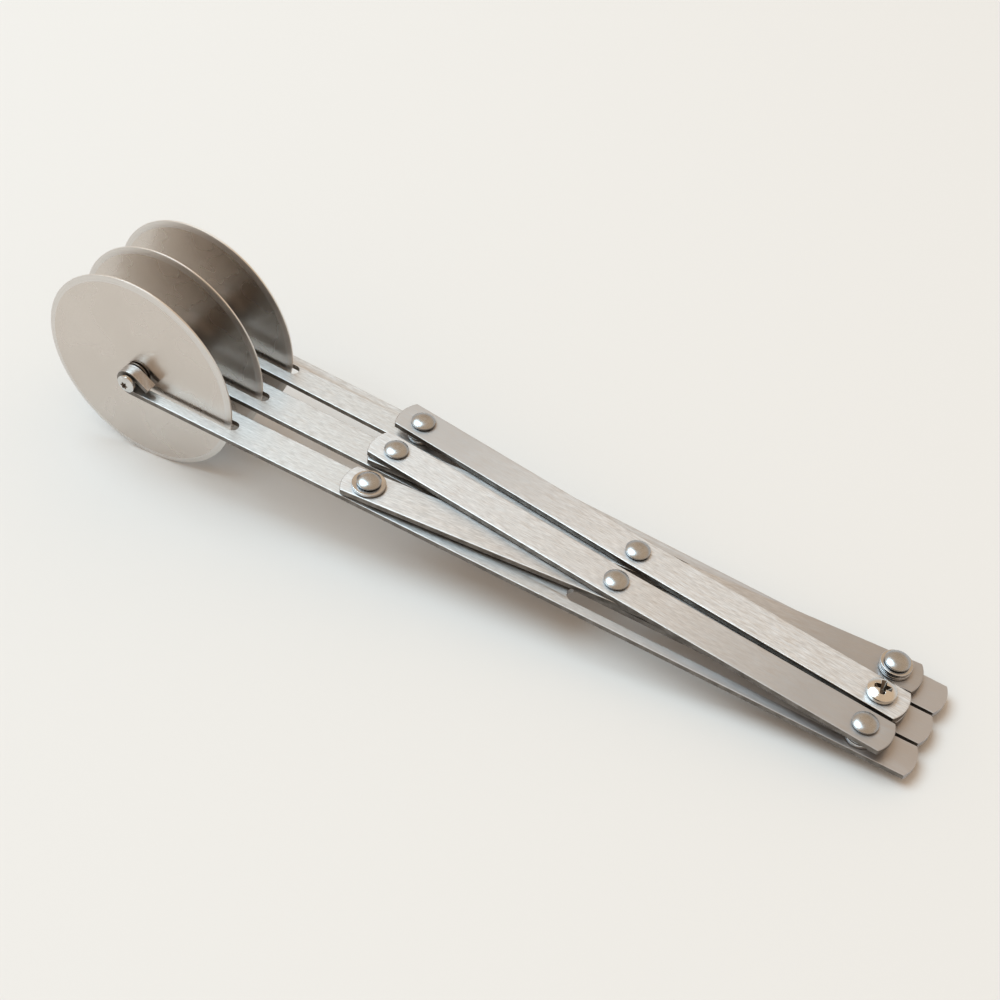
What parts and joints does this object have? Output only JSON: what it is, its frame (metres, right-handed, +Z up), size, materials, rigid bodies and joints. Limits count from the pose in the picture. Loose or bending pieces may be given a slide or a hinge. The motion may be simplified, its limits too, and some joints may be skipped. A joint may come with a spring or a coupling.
{
  "type": "expanding pastry cutter",
  "caption": "Expanding pastry cutter: cutting discs on slotted flat steel bars, joined by lazy-tongs links so that the strip width can be set.",
  "frame": {"origin": "bottom centre of the bounding box, on the table that the discs and the rear nut stand on", "axes": "+X from the discs to the rear ends of the bars, +Y from the near bar to the far bar, +Z up"},
  "size_m": [0.2315, 0.039, 0.055],
  "materials": {
    "strip": "brushed lengthwise",
    "disc": "fine satin with a ground edge bevel",
    "rivet": "satin, peened",
    "washer": "plain, slightly polished",
    "screw": "nickel plated"
  },
  "bodies": {
    "middle_bar": {"middle_bar": "strip", "middle_axle_screw": "screw", "middle_axle_nut": "screw", "middle_hub_bush": "washer", "middle_hub_washer": "washer", "middle_front_rivet": "rivet", "middle_front_spacer": "washer"},
    "near_bar": {"near_bar": "strip", "near_axle_screw": "screw", "near_axle_nut": "screw", "near_hub_bush": "washer", "near_hub_washer": "washer", "near_front_rivet": "rivet", "near_front_spacer": "washer", "near_front_washer": "washer"},
    "far_bar": {"far_bar": "strip", "far_axle_screw": "screw", "far_axle_nut": "screw", "far_hub_bush": "washer", "far_hub_washer": "washer", "far_front_rivet": "rivet", "far_front_spacer_1": "washer", "far_front_spacer_2": "washer"},
    "near_upper_link": {"near_upper_link": "strip", "near_middle_rivet": "rivet", "near_rear_rivet": "rivet", "near_rear_spacer_1": "washer", "near_rear_spacer_2": "washer", "near_rear_under_washer": "washer"},
    "near_lower_link": {"near_lower_link": "strip"},
    "far_lower_link": {"far_lower_link": "strip", "far_rear_rivet": "rivet", "far_rear_spacer": "washer", "far_rear_washer_1": "washer", "far_rear_washer_2": "washer", "far_rear_under_washer": "washer"},
    "far_upper_link": {"far_upper_link": "strip", "far_middle_rivet": "rivet", "middle_rear_screw": "screw", "middle_rear_spacer": "washer", "middle_rear_under_washer": "washer", "middle_rear_nut": "screw"},
    "near_wheel": {"near_wheel": "disc"},
    "middle_wheel": {"middle_wheel": "disc"},
    "far_wheel": {"far_wheel": "disc"}
  },
  "joints": [
    {"name": "spread", "type": "hinge", "parent": "middle_bar", "child": "near_upper_link", "pos_m": [-0.02211, 0, 0.01777], "axis": [-0.1018, 0, -0.9948], "range_deg": [0, 58]},
    {"name": "near_cross", "type": "hinge", "parent": "near_upper_link", "child": "near_lower_link", "pos_m": [0.04032, -0.00549, 0.01138], "axis": [0.1018, 0, 0.9948], "range_deg": [0, 116]},
    {"name": "near_bar_pivot", "type": "hinge", "parent": "near_lower_link", "child": "near_bar", "pos_m": [-0.02201, -0.01202, 0.01776], "axis": [-0.1018, 0, -0.9948], "range_deg": [0, 58]},
    {"name": "far_link_pivot", "type": "hinge", "parent": "middle_bar", "child": "far_lower_link", "pos_m": [-0.02211, 0, 0.01777], "axis": [0.1018, 0, 0.9948], "range_deg": [0, 58]},
    {"name": "far_cross", "type": "hinge", "parent": "far_lower_link", "child": "far_upper_link", "pos_m": [0.04032, 0.00549, 0.01138], "axis": [-0.1018, 0, -0.9948], "range_deg": [0, 116]},
    {"name": "far_bar_pivot", "type": "hinge", "parent": "far_upper_link", "child": "far_bar", "pos_m": [-0.02201, 0.01202, 0.01776], "axis": [0.1018, 0, 0.9948], "range_deg": [0, 58]},
    {"name": "near_wheel_spin", "type": "hinge", "parent": "near_bar", "child": "near_wheel", "pos_m": [-0.08811, -0.01313, 0.02749], "axis": [-0.0165, 0.9999, 0.0017], "continuous": true},
    {"name": "middle_wheel_spin", "type": "hinge", "parent": "middle_bar", "child": "middle_wheel", "pos_m": [-0.08822, 0, 0.0275], "axis": [0, 1, 0], "continuous": true},
    {"name": "far_wheel_spin", "type": "hinge", "parent": "far_bar", "child": "far_wheel", "pos_m": [-0.08811, 0.01313, 0.02749], "axis": [0.0165, 0.9999, -0.0017], "continuous": true}
  ],
  "couplings": [
    {"joint": "near_cross", "follows": "spread", "ratio": 2},
    {"joint": "near_bar_pivot", "follows": "spread", "ratio": 1},
    {"joint": "far_link_pivot", "follows": "spread", "ratio": 1},
    {"joint": "far_cross", "follows": "spread", "ratio": 2},
    {"joint": "far_bar_pivot", "follows": "spread", "ratio": 1}
  ]
}
